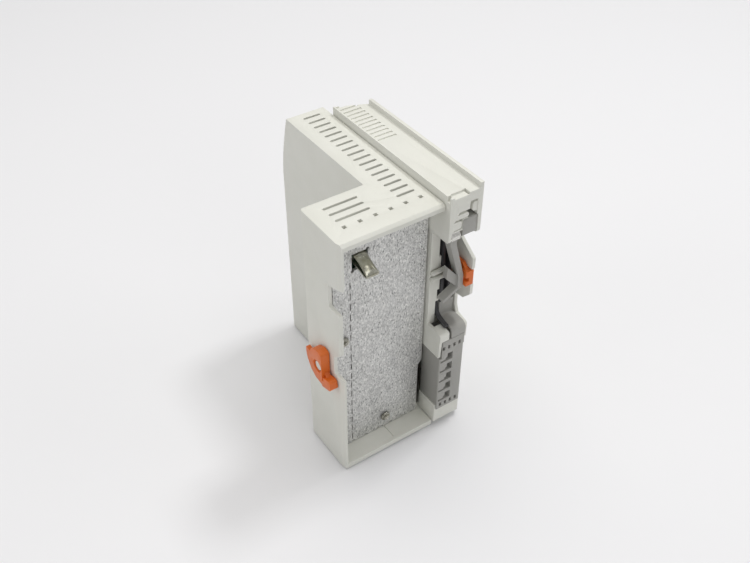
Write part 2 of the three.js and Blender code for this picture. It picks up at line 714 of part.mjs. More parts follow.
const clampColumns = [moduleLeft + 3.15, moduleRight - 3.35];
const clampFront = moduleFront - 2;
const strip = { x0: rightInner - 1.6, x1: rightInner - 0.4, low: railMiddle + 0.8, high: railMiddle + 6.4,
  bladeHigh: railMiddle + 8.4 };
const contactRows = [0, 1, 2].map((k) => moduleFloor + 10 + k * 11);
const dataPort = { y0: 22, y1: 32, low: railTop - 3, high: railTop + 7 };
const foot = { x0: moduleRight - 3.3, x1: moduleRight - 0.4, rear: -1.7, front: 1 };
const insertBox = {
  x0: moduleRight - 6.6, x1: moduleRight - 1.5, low: blockLow + 0.6, high: blockLow + 7, depth: 4,
};
const tongueDepth = 2.4; // pockets round the two snap tongues beside the insert
const tongueGap = 0.35;
const tongueRoom = 0.9; // above each tongue
const tongues = [
  { x0: moduleLeft + 2.9, x1: insertBox.x0 + 1.7, low: insertBox.high + 0.8, high: insertBox.high + 2.4 },
  { x0: moduleLeft + 1.7, x1: insertBox.x0 - 0.75, low: blockLow + 4.4, high: insertBox.high + 0.1 },
];
const railSeatDepth = plateRecess - 1.7; // face that the rail flanges press on
const catchLeft = wallInner + 1.2;
const catchWidth = 2.4;
const catchRear = -0.6;
const catchFront = 2.4;
const windowPitch = 4.65; // of the carrier's tongues
const pegs = [railMiddle + 5.25, railMiddle + 2.75];
const pegRadius = 0.85;
const pegY = cheekEdge - 0.6;

// Side outline of the module: rear steps back for the rail, front leans back at both ends.
function moduleOutline() {
  return outline(
    [-lipProud, moduleFloor], [moduleFront - 8, moduleFloor, 2], [moduleFront, moduleFloor + 9, 3],
    [moduleFront, moduleTop - 16, 3], [moduleTopFront, moduleTop], [-moduleProud, moduleTop],
    [-moduleProud, blockLow, 1.2], [pocketDepth, blockLow], [pocketDepth, pocketEnd + 2],
    [plateSeat, pocketEnd], [plateSeat, carrierLow], [-lipProud, carrierLow],
  );
}

function moduleHousing() {
  let body = prismX(moduleOutline(), moduleLeft, moduleRight);
  const lipBevel = prismZ(outline(
    [moduleRight - 2, -lipProud - 1], [moduleRight + 1, -lipProud - 1], [moduleRight + 1, 2.5],
  ), moduleFloor - 1, carrierLow + 1);
  body = body.subtract(lipBevel);
  const ridge = block(
    [rightInner, -moduleProud, moduleTop - 1], [moduleRight, moduleTopFront - 5.1, moduleTop + ridgeHeight],
  );
  const leftCheek = prismX(outline(
    [cheekEdge, blockLow + 1], [pocketDepth + 1, blockLow + 1], [pocketDepth + 1, carrierLow + 20],
    [plateSeat + 1, railBottom - 9], [-lowProud + 0.6, railBottom - 9.2], [-lowProud, railBottom + 1.2, 1],
    [cheekEdge, railBottom + 1.4],
  ), moduleLeft, wallInner);
  const railWall = prismY(outline(
    [moduleLeft, railBottom + 0.6], [tailNotch.right, railBottom + 0.6], [tailNotch.right, tailNotch.high],
    [cheekRight, tailNotch.high], [cheekRight, railBottom + 10.5], [cheekRight - 0.8, railBottom + 10.5],
    [cheekRight - 0.8, railBottom + 14.4], [cheekRight, railBottom + 14.4], [cheekRight, railMiddle + 10.4],
    [cheekRight - 0.8, railMiddle + 10.4], [cheekRight - 0.8, blockLow - 3], [cheekRight - 1.6, blockLow + 1],
    [moduleLeft, blockLow + 1],
  ), cheekEdge, pocketDepth + 1);
  const lowCheek = prismX(outline(
    [-lipProud, carrierLow - 1], [plateSeat + 1, carrierLow - 1], [plateSeat + 1, lipTop], [-lipProud, lipTop],
  ), moduleLeft, wallInner);
  const corner = prismX(outline(
    [-lowProud, carrierTop + unitGap], [3, carrierTop + unitGap], [3, railBottom + 1.6],
    [-lowProud, railBottom + 1.2, 1],
  ), moduleLeft, hoodLeft - 1.1);
  const rightCheek = prismX(outline(
    [5.4, blockLow + 1], [pocketDepth + 1, blockLow + 1], [pocketDepth + 1, pocketEnd - 2],
    [plateSeat - 0.5, pocketEnd - 6], [-0.2, pocketEnd - 6], [-0.4, railBottom + 0.8, 1.2],
    [4.4, railBottom + 1.9], [5.4, railBottom + 5], [5.4, railMiddle - 7.6], [1.6, railMiddle - 7],
    [-1.5, railMiddle - 3.6, 0.8], [-1.6, railTop - 6.6, 0.8], [5.4, railTop - 1.6, 0.8],
  ), rightInner, moduleRight);
  body = joined(body, ridge, leftCheek, railWall, lowCheek, corner, rightCheek);

  const inner = prismX(outline(
    [pocketDepth + 1.2, moduleFloor + 1.4], [moduleFront - 8.8, moduleFloor + 1.4, 1.5],
    [moduleFront - 2, moduleFloor + 9.6, 2.5], [moduleFront - 2, moduleTop - 16.6, 2.5],
    [moduleTopFront - 2.3, moduleTop - 1.8], [pocketDepth + 1.2, moduleTop - 1.8],
  ), wallInner, rightInner);
  body = cut(body, inner);
  const rib = prismX(outline(
    [clampFront - 13, clampRows[0] - 8], [clampFront + 1, clampRows[0] - 8], [clampFront + 1, clampRows[3] + 7],
    [clampFront - 13, clampRows[3] + 7],
  ), (clampColumns[0] + clampColumns[1]) / 2 - 0.35, (clampColumns[0] + clampColumns[1]) / 2 + 0.35);
  body = joined(body, rib);

  body = cut(body, ...moduleOpenings());
  const snaps = tongues.map(({ x0, x1, low, high }) => prismY(outline(
    [x0 - 0.5, low], [x1, low, 0.7], [x1, high, 0.7], [x0 - 0.5, high],
  ), -moduleProud, -moduleProud + tongueDepth + 0.4));
  const knob = prismY(outline(
    [insertBox.x1 - 2, insertBox.high + 1.9, 0.7], [insertBox.x1 + 0.2, insertBox.high + 1.4],
    [insertBox.x1 + 0.2, insertBox.high + 5], [insertBox.x1 - 1.8, insertBox.high + 4.8, 0.7],
  ), -moduleProud + 0.3, 4.4);
  return joined(body, ...snaps, knob);
}

function moduleOpenings() {
  const openings = [];
  // grooved grip on the top, and the front edge of the top cut back on a slant
  for (let k = 0; k < 12; k += 1) {
    const y = moduleTopFront - 0.9 - k * 2.18;
    openings.push(block([moduleLeft + 0.5, y - 0.9, moduleTop - 0.4], [moduleLeft + 7.4, y, moduleTop + 1]));
  }
  openings.push(prismZ(outline(
    [moduleLeft - 1, moduleTopFront + 0.4], [moduleRight + 1, moduleTopFront - 5.8],
    [moduleRight + 1, moduleFront + 3], [moduleLeft - 1, moduleFront + 3],
  ), moduleTop - 7, moduleTop + ridgeHeight + 1));
  // catches and windows in the block above the rail
  openings.push(block(
    [moduleLeft + 1.3, -moduleProud - 1, moduleTop - 0.7], [moduleLeft + 6.8, 0, moduleTop + 1],
  ));
  openings.push(block([moduleLeft + 6.3, -1.9, moduleTop - 2.2], [moduleLeft + 6.8, 0.3, moduleTop + 1]));
  openings.push(block(
    [moduleLeft - 1, -1.5, moduleTop - 1.8], [moduleLeft + 1.3, -0.3, moduleTop + 1],
  ));
  openings.push(block(
    [insertBox.x0 - unitGap, -moduleProud - 1, insertBox.low - unitGap - 1],
    [insertBox.x1 + unitGap, insertBox.depth + unitGap, insertBox.high + unitGap],
  ));
  openings.push(prismY(outline(
    [insertBox.x0 + 1.4, insertBox.high - 1], [insertBox.x1 - 0.2, insertBox.high - 1],
    [insertBox.x1 - 0.2, blockLow + 12.9, 0.6], [insertBox.x0 + 2, blockLow + 13, 0.6],
    [insertBox.x0 + 1.8, insertBox.high + 2],
  ), -moduleProud - 1, 4));
  tongues.forEach(({ x0, x1, low: tongueLow, high: tongueHigh }) => openings.push(prismY(outline(
    [x0, tongueLow - tongueGap], [x1 + 0.4, tongueLow - tongueGap], [x1 + 0.4, tongueHigh + tongueRoom],
    [x0 + 0.6, tongueHigh + tongueRoom], [x0, tongueHigh + tongueGap],
  ), -moduleProud - 1, -moduleProud + tongueDepth)));
  openings.push(block(
    [wallInner, -moduleProud - 1, blockLow - 1],
    [insertBox.x0 + 0.1, catchRear + 0.1, blockLow + 3.6],
  ));
  openings.push(block(
    [catchLeft - unitGap, catchRear - unitGap, blockLow - 1],
    [catchLeft + catchWidth + 2 * unitGap, catchFront + unitGap, blockLow + catchTravel + 0.6],
  ));
  // way for the release strip from the rail recess to the front
  openings.push(block(
    [strip.x0 - unitGap, pocketDepth - 1, strip.low - unitGap],
    [rightInner, pocketDepth + 2, strip.bladeHigh + unitGap],
  ));
  openings.push(block(
    [strip.x0 - unitGap, moduleTopFront - 6, releaseSlot.low - unitGap],
    [rightInner, moduleFront + 1, releaseSlot.high + unitGap],
  ));
  openings.push(block(
    [rightInner - 1, -moduleProud - 1, strip.low - unitGap],
    [moduleRight + 1, foot.front + releaseTravel + 0.6, strip.high + unitGap],
  ));
  // grooves for the pegs, and a side pocket where the controller's contacts pass
  pegs.forEach((z) => {
    openings.push(rod('x', pegRadius + 0.2, moduleLeft - 1, cheekRight + 1, pegY, z, 18));
  });
  openings.push(block(
    [moduleLeft - 1, plateSeat - 0.1, contactSlot.low], [wallInner + 1.4, plateSeat + 5, contactSlot.high],
  ));
  // wire and tool openings of the clamps
  clampColumns.forEach((x) => clampRows.forEach((z) => {
    openings.push(rod('y', 1.9, clampFront - 1, moduleFront + 1, x, z - 2.8, 16));
    openings.push(block([x - 1.5, clampFront - 1, z + 0.8], [x + 1.5, moduleFront + 1, z + 4]));
  }));
  // side contacts to the next module
  contactRows.forEach((z) => {
    openings.push(block([rightInner - 1, 30.5, z - 1.2], [moduleRight + 1, 39, z + 1.2]));
  });
  openings.push(block(
    [rightInner - 1, dataPort.y0 - unitGap, dataPort.low - unitGap],
    [moduleRight + 1, dataPort.y1 + unitGap, dataPort.high + unitGap],
  ));
  return openings;
}

// ---------------------------------------------------------------- pieces behind the supply module
function insertBlock() {
  const { x0, x1, low, high, depth } = insertBox;
  return prismX(outline(
    [-moduleProud + 0.2, low, 0.8], [depth, low], [depth, high], [-moduleProud + 0.2, high, 0.5],
  ), x0, x1);
}

function contactStrip() {
  const path = [
    [-1.05, blockLow + 3], [-1.3, blockLow + 2.6], [-1.85, blockLow + 1.9], [-1.95, blockLow + 1.5],
    [-1.6, blockLow + 1.1], [-1.85, blockLow + 0.6], [-1.3, blockLow + 0.2],
  ];
  return ribbon(path, 0.4, wallInner + unitGap, insertBox.x0 - 2 * unitGap);
}

function railSeat() {
  const rear = railSeatDepth;
  const front = pocketDepth - unitGap;
  const left = cheekRight + unitGap;
  const right = foot.x0 - unitGap;
  const low = tailNotch.high - unitGap - 0.6;
  const body = block([left, rear, low], [right, front, blockLow - unitGap]);
  const channel = block([left + 1.1, rear - 1, railMiddle - 5], [right - 0.9, rear + 1.9, blockLow]);
  const pegRoom = block(
    [left - 1, rear - 1, pegs[1] - pegRadius - 1],
    [left + 1.2, pegY + pegRadius + unitGap, pegs[0] + pegRadius + 1],
  );
  const tailLeft = tailNotch.right + unitGap;
  const tail = ribbon([
    [7.2, tailNotch.high - unitGap - 0.1], [6.9, railBottom + 6.6], [6.2, railBottom + 4.7],
    [4.6, railBottom + 3.4], [2.4, railBottom + 2.6], [0.2, railBottom + 2.3],
  ], 1, tailLeft, hoodLeft - unitGap);
  const neck = block([tailLeft, rear + 1, low + 0.1], [left + 1, front - 0.6, tailNotch.high - unitGap]);
  return joined(cut(body, channel, pegRoom), tail, neck);
}

// Arrow-shaped catch: a long arm from the block above, a web behind it and a short arm back below.
function railCatch() {
  const tip = foot.x0 - unitGap;
  const arm = outline(
    [catchLeft, blockLow - 0.4], [catchLeft, blockLow - 2.2], [tip - 1.9, railMiddle + 5],
    [tip - 1.9, railMiddle + 0.2, 0.4], [tip, railMiddle + 0.2, 0.6], [tip, railMiddle + 5],
    [catchLeft + catchWidth, blockLow - 2.8], [catchLeft + catchWidth, blockLow - 0.4],
  );
  const web = outline(
    [catchLeft + 0.2, railMiddle + 5.2], [tip - 1.4, railMiddle + 0.2], [tip - 1.4, railMiddle + 4.6],
    [catchLeft + 0.5, railMiddle + 9.6],
  );
  const foreArm = outline(
    [catchLeft - 1.6, railMiddle - 2.2], [catchLeft - 1.2, railMiddle - 3.1], [tip - 0.4, railMiddle + 0.3],
    [tip - 1.2, railMiddle + 1.3],
  );
  return joined(
    prismY(arm, catchRear, catchFront), prismY(web, catchRear + 0.9, catchFront),
    prismY(foreArm, catchRear, catchFront),
  );
}

function joiningPeg(z) {
  const peg = rod('x', pegRadius, moduleLeft + 0.1, cheekRight + 0.9, pegY, z, 18);
  return joined(peg, rod('x', pegRadius - 0.2, cheekRight + 0.8, cheekRight + 1.2, pegY, z, 18));
}

function releaseStrip() {
  const turn = clampFront - 18;
  const shape = outline(
    [foot.rear + 1.2, strip.low], [turn, strip.low], [turn, releaseSlot.low],
    [moduleFront + 1.5, releaseSlot.low], [moduleFront + 1.5, releaseSlot.high],
    [turn - 4.5, releaseSlot.high], [turn - 4.5, strip.bladeHigh], [foot.front + 0.4, strip.bladeHigh],
    [foot.rear + 1.2, strip.high],
  );
  const blade = prismX(shape, strip.x0, strip.x1);
  const eyeZ = (releaseSlot.low + releaseSlot.high) / 2;
  const eye = rod('x', 1.2, strip.x0 - 1, strip.x1 + 1, moduleFront - 0.4, eyeZ, 14);
  const head = block([foot.x0, foot.rear, strip.low], [foot.x1, foot.front, strip.high]);
  const notch = block(
    [foot.x0 - 1, foot.rear - 1, strip.low + 1.7], [foot.x0 + 1.2, foot.front - 1, strip.low + 3.3],
  );
  return cut(joined(blade, head), eye, notch);
}

// Hood that leads from the rail recess out to the terminal carrier: a plate, a ledge and a rounded nose.
function railHood() {
  const face = -lowProud + 0.55;
  const ledge = railBottom + 1.7;
  const path = [
    [6.35, railBottom + 8.1], [6.35, ledge + 1.4], ...arc(4.95, ledge + 1.4, 1.4, -20, -80, 3),
    [2.4, ledge - 0.1], ...arc(face + 1.6, ledge - 1.8, 1.6, 84, 180, 5), [face, carrierTop + unitGap],
  ];
  return ribbon(path, 1.1, hoodLeft, rightInner - unitGap);
}

// Mid-grey carrier of the wire clamps, with a column of tongues beside their windows.
function terminalCarrier() {
  const left = moduleLeft + unitGap;
  const right = moduleRight - unitGap;
  const rear = -lowProud;
  const front = plateSeat - unitGap;
  const low = carrierLow + unitGap;
  const upper = railBottom - 9.2 - 2 * unitGap;
  const sideHigh = pocketEnd - 6 - unitGap;
  const lower = prismZ(outline(
    [left, rear, 0.4], [right - 1.6, rear, 0.4], [right, rear + 2.6], [right, front], [left, front],
  ), low, sideHigh);
  const shoulders = [
    block([left - 1, rear - 1, upper], [wallInner + unitGap, front + 1, sideHigh + 1]),
    block([left - 1, -lipProud - unitGap, low - 1], [wallInner + unitGap, front + 1, lipTop + unitGap]),
  ];
  const head = prismZ(outline(
    [wallInner + unitGap, rear, 0.4], [rightInner - unitGap, rear, 0.4], [rightInner - unitGap, front],
    [wallInner + unitGap, front],
  ), sideHigh - 1, carrierTop);
  const body = joined(cut(lower, ...shoulders), head);
  const tools = [];
  for (let k = 0; k < 5; k += 1) {
    const z = low + 5.3 + k * windowPitch;
    tools.push(block([left + 3.3, rear - 1, z - 1.7], [left + 5.5, rear + 6, z + 1.6]));
    tools.push(block([left + 0.5, rear - 1, z - 1.7], [left + 3.4, rear + 2.4, z - 0.8]));
    tools.push(block([left + 2.6, rear - 1, z - 0.9], [left + 3.4, rear + 2.4, z]));
  }
  for (let k = 0; k < 4; k += 1) {
    const x = left + 1.6 + k * 2.15;
    tools.push(block([x - 0.5, rear - 1, low + 0.9], [x + 0.5, rear + 5, low + 2.6]));
    tools.push(block([x - 0.5, rear - 1, carrierTop - 4], [x + 0.5, rear + 5, carrierTop - 2.3]));
  }
  return cut(body, ...tools);
}

// ---------------------------------------------------------------- clamps and contacts
function clampSpring(x, z) {
  const front = clampFront - 1;
  const rear = front - 9.5;
  const half = 4.6;
  const path = [
    [front - 2.2, z - half + 0.4], [rear + 2, z - half], ...arc(rear + 2.6, z, half, -115, -245, 6),
    [rear + 3, z + half], [front - 1.2, z + half - 0.2], [front - 0.3, z + half - 1.2],
    [front - 0.4, z - half + 2],
  ];
  return ribbon(path, 0.5, x - 1.5, x + 1.5);
}

function currentBar(x) {
  const rear = clampFront - 13.9;
  const body = block([x - 1.4, rear, clampRows[0] - 5], [x + 1.4, rear + 0.8, clampRows[3] + 5]);
  return body;
}

function powerContact(z) {
  const left = rightInner - 2;
  const body = block([left, 31, z - 0.8], [moduleRight - unitGap, 38.4, z + 0.8]);
  return cut(body, block([left + 0.8, 32, z - 0.35], [moduleRight + 1, 39, z + 0.35]));
}

function dataContacts() {
  const { y0, y1, low, high } = dataPort;
  const face = moduleRight - unitGap;
  const body = block([strip.x0 - 2.6, y0, low], [face, y1, high]);
  const wells = [0, 1, 2, 3, 4, 5].map((k) => (
    block([face - 0.5, y0 + 1, low + 0.7 + k * 1.5], [face + 1, y1 - 1, low + 1.5 + k * 1.5])
  ));
  return cut(body, ...wells);
}

// ---------------------------------------------------------------- assembly
addPart('controller_housing', controllerHousing(), 'housing');
addPart('shield_plate', shieldPlate(), 'zinc');
addPart('earthing_spring', groundSpring(), 'steel');
addPart('shield_screw_lower', shieldScrew(shieldScrews[0]), 'steel');
addPart('shield_screw_side', shieldScrew(shieldScrews[1]), 'steel');
addPart('base_board', baseBoard(), 'board');
addPart('main_board', mainBoard(), 'board');
addPart('board_socket', boardSocket(), 'chip');
addPart('processor_chip', chip(34, floorZ + 38, 14, 14), 'chip');
addPart('memory_chip', chip(34, floorZ + 58, 8, 11), 'chip');
addPart('network_chip', chip(22, floorZ + 20, 9, 9), 'chip');
addPart('smoothing_capacitor', smoothingCapacitor(), 'chip');
addPart('field_connector_shroud', connectorShroud(), 'zinc');
addPart('field_connector_insert', connectorInsert(), 'darkInsert');
addPart('standoff_lower', standoff(-1), 'steel');
addPart('standoff_upper', standoff(1), 'steel');
['units', 'tens'].forEach((name, k) => {
  addPart(`address_switch_${name}`, addressSwitchBody(addressSwitches[k]), 'chip');
  addPart(`address_rotor_${name}`, addressRotor(addressSwitches[k]), 'housing');
});
addPart('service_flap', serviceFlap(), 'insert');
addPart('service_bay_panel', bayPanel(), 'housing');
addPart('service_port', servicePort(), 'darkInsert');
addPart('switch_block', switchBlock(), 'darkInsert');
addPart('mode_slider', modeSlider(), 'housing');
addPart('reset_key', resetKey(), 'insert');
addPart('light_guide', lightGuide(), 'lens');
addPart('locking_disc', lockingDisc(), 'orange');
addPart('module_housing', moduleHousing(), 'housing');
addPart('module_insert', insertBlock(), 'insert');
addPart('module_contact_strip', contactStrip(), 'steel');
addPart('rail_seat', railSeat(), 'darkInsert');
addPart('rail_catch', railCatch(), 'insert');
addPart('joining_peg_upper', joiningPeg(pegs[0]), 'housing');
addPart('joining_peg_lower', joiningPeg(pegs[1]), 'housing');
addPart('release_strip', releaseStrip(), 'orange');
addPart('rail_hood', railHood(), 'insert');
addPart('terminal_carrier', terminalCarrier(), 'insert');
clampColumns.forEach((x, column) => {
  addPart(`current_bar_${column + 1}`, currentBar(x), 'copper');
  clampRows.forEach((z, row) => {
    addPart(`clamp_spring_${column * clampRows.length + row + 1}`, clampSpring(x, z), 'steel');
  });
});
contactRows.forEach((z, k) => addPart(`power_contact_${k + 1}`, powerContact(z), 'copper'));
addPart('data_contacts', dataContacts(), 'darkInsert');

// The origin is under the middle of the unit, on the surface it stands on.
const lowX = -discThickness - discPlay;
const lowY = -moduleProud;
unit.position.set(-(lowX + moduleRight) / 2, -(lowY + bodyDepth) / 2, 0);

export default unit;
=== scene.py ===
import json
import math
import bpy
import numpy as np
from mathutils import Matrix, Vector


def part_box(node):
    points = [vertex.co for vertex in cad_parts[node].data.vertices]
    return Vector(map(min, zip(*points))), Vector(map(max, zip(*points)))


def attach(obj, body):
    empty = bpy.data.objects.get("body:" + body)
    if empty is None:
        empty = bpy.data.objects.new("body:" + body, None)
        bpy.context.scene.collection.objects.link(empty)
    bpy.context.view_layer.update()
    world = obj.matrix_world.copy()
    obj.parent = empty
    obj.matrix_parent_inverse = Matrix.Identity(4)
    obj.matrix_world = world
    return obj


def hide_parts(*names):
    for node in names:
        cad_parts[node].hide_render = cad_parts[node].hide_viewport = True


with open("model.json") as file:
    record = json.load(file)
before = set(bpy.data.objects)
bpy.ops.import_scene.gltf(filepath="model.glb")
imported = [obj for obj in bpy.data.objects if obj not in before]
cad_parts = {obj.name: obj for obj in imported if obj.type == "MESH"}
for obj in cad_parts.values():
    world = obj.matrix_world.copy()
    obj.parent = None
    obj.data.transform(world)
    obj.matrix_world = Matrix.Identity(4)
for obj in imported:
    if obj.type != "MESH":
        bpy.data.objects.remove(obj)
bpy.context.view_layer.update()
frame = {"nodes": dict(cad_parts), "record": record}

scene = bpy.context.scene
mm = 0.001


# ---- nodes ---------------------------------------------------------------------------------------

def newMaterial(name):
    """An empty finish: its shader, its tree and the Object coordinates it reads."""
    material = bpy.data.materials.new(name)
    material.use_nodes = True
    tree = material.node_tree
    shader = next(n for n in tree.nodes if n.type == "BSDF_PRINCIPLED")
    place = tree.nodes.new("ShaderNodeTexCoord").outputs["Object"]
    return material, tree, shader, place


def setPort(tree, port, value):
    """A socket is linked, and a number or colour is written on the input."""
    if isinstance(value, bpy.types.NodeSocket):
        tree.links.new(value, port)
    else:
        port.default_value = value


def stretched(tree, place, scale, turn=(0, 0, 0)):
    node = tree.nodes.new("ShaderNodeMapping")
    node.inputs["Scale"].default_value = scale
    node.inputs["Rotation"].default_value = turn
    tree.links.new(place, node.inputs["Vector"])
    return node.outputs["Vector"]


def noise(tree, place, scale, detail=3.0, roughness=0.5):
    node = tree.nodes.new("ShaderNodeTexNoise")
    node.inputs["Scale"].default_value = scale
    node.inputs["Detail"].default_value = detail
    node.inputs["Roughness"].default_value = roughness
    tree.links.new(place, node.inputs["Vector"])
    return node.outputs["Fac"]


def cells(tree, place, scale, feature="F1", output="Distance", randomness=1.0):
    node = tree.nodes.new("ShaderNodeTexVoronoi")
    node.feature = feature
    node.inputs["Scale"].default_value = scale
    node.inputs["Randomness"].default_value = randomness
    tree.links.new(place, node.inputs["Vector"])
    return node.outputs[output]


def spread(tree, value, low, high, newLow=0.0, newHigh=1.0):
    """low..high of a value becomes newLow..newHigh, held at both ends."""
    node = tree.nodes.new("ShaderNodeMapRange")
    node.clamp = True
    tree.links.new(value, node.inputs["Value"])
    for port, number in zip(("From Min", "From Max", "To Min", "To Max"),
                            (low, high, newLow, newHigh)):
        node.inputs[port].default_value = number
    return node.outputs["Result"]


def sums(tree, operation, a, b):
    node = tree.nodes.new("ShaderNodeMath")
    node.operation = operation
    setPort(tree, node.inputs[0], a)
    setPort(tree, node.inputs[1], b)
    return node.outputs[0]


def blended(tree, share, a, b, way="MIX"):
    node = tree.nodes.new("ShaderNodeMix")
    node.data_type = "RGBA"
    node.blend_type = way
    setPort(tree, node.inputs["Factor"], share)
    setPort(tree, node.inputs[6], a)
    setPort(tree, node.inputs[7], b)
    return node.outputs[2]


def bumped(tree, height, distance, strength=1.0, under=None):
    node = tree.nodes.new("ShaderNodeBump")
    node.inputs["Strength"].default_value = strength
    node.inputs["Distance"].default_value = distance
    tree.links.new(height, node.inputs["Height"])
    if under is not None:
        tree.links.new(under, node.inputs["Normal"])
    return node.outputs["Normal"]


def edgeMask(tree, radius, low=0.02, high=0.3):
    """1 along sharp edges and 0 on flat faces: how far a rounded normal turns from the true one."""
    rounded = tree.nodes.new("ShaderNodeBevel")
    rounded.samples = 4
    rounded.inputs["Radius"].default_value = radius
    true = tree.nodes.new("ShaderNodeNewGeometry")
    dot = tree.nodes.new("ShaderNodeVectorMath")
    dot.operation = "DOT_PRODUCT"
    tree.links.new(rounded.outputs["Normal"], dot.inputs[0])
    tree.links.new(true.outputs["Normal"], dot.inputs[1])
    return spread(tree, dot.outputs["Value"], 1 - low, 1 - high)


def linear(r, g, b):
    """A display colour, 0 to 255, as the linear colour that a shader takes."""
    part = np.array([r, g, b]) / 255
    line = np.where(part <= 0.04045, part / 12.92, ((part + 0.055) / 1.055) ** 2.4)
    return (*[float(x) for x in line], 1.0)


# ---- finishes ------------------------------------------------------------------------------------

def mouldedPlastic(name, look):
    """Injection-moulded plastic: slow tint drift, a fine spark-eroded grain, smudges, and edges painted
    paler, partly handling wear and partly a painted highlight.
    """
    material, tree, shader, place = newMaterial(name)
    drift = spread(tree, noise(tree, place, look["driftScale"], 4), *look["driftRange"])
    specks = spread(tree, noise(tree, place, look["speckScale"], 2), *look["speckRange"])
    tint = blended(tree, drift, look["colour"], look["shade"])
    tint = blended(tree, sums(tree, "MULTIPLY", specks, look["speckShare"]), tint, look["speck"])
    # edges painted paler: partly handling wear, partly a painted highlight
    paintedEdgeHighlight = sums(tree, "MULTIPLY", edgeMask(tree, look["edgeRadius"]), look["edgeShare"])
    tint = blended(tree, paintedEdgeHighlight, tint, look["edge"])
    tree.links.new(tint, shader.inputs["Base Color"])
    smudge = noise(tree, place, look["smudgeScale"], 5, 0.6)
    tree.links.new(spread(tree, smudge, *look["smudgeRange"], *look["roughness"]),
                   shader.inputs["Roughness"])
    grain = noise(tree, place, look["grainScale"], 2, 0.6)
    scuffs = noise(tree, stretched(tree, place, look["scuffStretch"]), look["scuffScale"], 2)
    lift = bumped(tree, spread(tree, scuffs, *look["scuffRange"]), look["scuffDepth"])
    tree.links.new(bumped(tree, grain, look["grainDepth"], under=lift), shader.inputs["Normal"])
    shader.inputs["Specular IOR Level"].default_value = look["specular"]
    return material


plasticLook = {
    "driftScale": 45.0, "speckScale": 1400.0, "speckShare": 0.12, "smudgeScale": 130.0,
    "grainScale": 2600.0, "grainDepth": 0.00002, "scuffStretch": (1, 1, 0.08), "scuffScale": 700.0,
    "scuffDepth": 0.00001, "roughness": (0.42, 0.58), "edgeRadius": 0.00035, "edgeShare": 0.35,
    "specular": 0.45, "driftRange": (0.35, 0.65), "speckRange": (0.66, 0.74),
    "smudgeRange": (0.3, 0.7), "scuffRange": (0.62, 0.7),
}

# edge is the paler colour painted along edges: partly wear, partly a painted highlight
housingLook = dict(plasticLook, colour=linear(224, 224, 216), shade=linear(219, 219, 210),
                   speck=linear(176, 174, 166), edge=linear(240, 240, 236))
insertLook = dict(plasticLook, colour=linear(166, 165, 160), shade=linear(158, 157, 152),
                  speck=linear(112, 111, 107), edge=linear(205, 204, 199), edgeShare=0.6)
# dark grey plastic; where it fills the module's recess it is partly real dark plastic and partly painted
# shade
darkLook = dict(plasticLook, colour=linear(58, 58, 60), shade=linear(50, 50, 52),
                speck=linear(80, 80, 82), edge=linear(92, 92, 94), edgeShare=0.4)
orangeLook = dict(plasticLook, colour=linear(224, 112, 40), shade=linear(214, 101, 33),
                  speck=linear(170, 74, 26), edge=linear(240, 150, 88), roughness=(0.34, 0.5))


def galvanisedSheet(name, look):
    """Zinc-dipped sheet: a frost of pale and dark flecks, slow clouds, short dark strokes, glints."""
    material, tree, shader, place = newMaterial(name)
    tilted = stretched(tree, place, look["fleckStretch"], look["fleckTurn"])
    flecks = noise(tree, tilted, look["fleckScale"], 3, 0.7)
    crystals = cells(tree, tilted, look["crystalScale"], "F1", "Color")
    tone = tree.nodes.new("ShaderNodeSeparateColor")
    tree.links.new(crystals, tone.inputs[0])
    clouds = noise(tree, place, look["cloudScale"], 3)
    frostShare = sums(tree, "MULTIPLY", spread(tree, flecks, *look["fleckRange"]), look["fleckShare"])
    crystalShare = sums(tree, "MULTIPLY", tone.outputs[0], look["crystalShare"])
    cloudShare = sums(tree, "MULTIPLY", spread(tree, clouds, *look["cloudRange"]), look["cloudShare"])
    share = sums(tree, "ADD", sums(tree, "ADD", frostShare, crystalShare), cloudShare)
    tint = blended(tree, share, look["dark"], look["pale"])
    strokes = noise(tree, stretched(tree, place, look["strokeStretch"], look["strokeTurn"]),
                    look["strokeScale"], 2, 0.6)
    marks = spread(tree, strokes, look["strokeLow"], look["strokeHigh"])
    tint = blended(tree, sums(tree, "MULTIPLY", marks, look["strokeShare"]), tint, look["stroke"])
    glints = spread(tree, flecks, look["glintLow"], look["glintHigh"])
    tint = blended(tree, sums(tree, "MULTIPLY", glints, look["glintShare"]), tint, look["glint"])
    tree.links.new(tint, shader.inputs["Base Color"])
    shader.inputs["Metallic"].default_value = look["metallic"]
    tree.links.new(spread(tree, share, 0, 1, *look["roughness"]), shader.inputs["Roughness"])
    frost = bumped(tree, share, look["frostDepth"])
    tree.links.new(bumped(tree, marks, -look["strokeDepth"], under=frost), shader.inputs["Normal"])
    return material


sheetLook = {
    "fleckStretch": (1.0, 1.0, 0.6), "fleckTurn": (0, math.radians(28), 0), "fleckScale": 2300.0,
    "crystalScale": 1600.0, "cloudScale": 110.0, "dark": linear(160, 160, 159),
    "pale": linear(246, 246, 243), "strokeStretch": (1.0, 1.0, 0.42),
    "strokeTurn": (0, math.radians(-24), 0), "strokeScale": 2200.0, "strokeLow": 0.585,
    "strokeHigh": 0.66, "strokeShare": 0.8, "stroke": linear(84, 84, 82), "glintLow": 0.6,
    "glintHigh": 0.7, "glintShare": 0.8, "glint": linear(255, 254, 250), "metallic": 0.4,
    "roughness": (0.36, 0.52), "frostDepth": 0.00003, "strokeDepth": 0.00003,
    "fleckRange": (0.34, 0.66), "cloudRange": (0.3, 0.7), "fleckShare": 0.6, "crystalShare": 0.25,
    "cloudShare": 0.15,
}


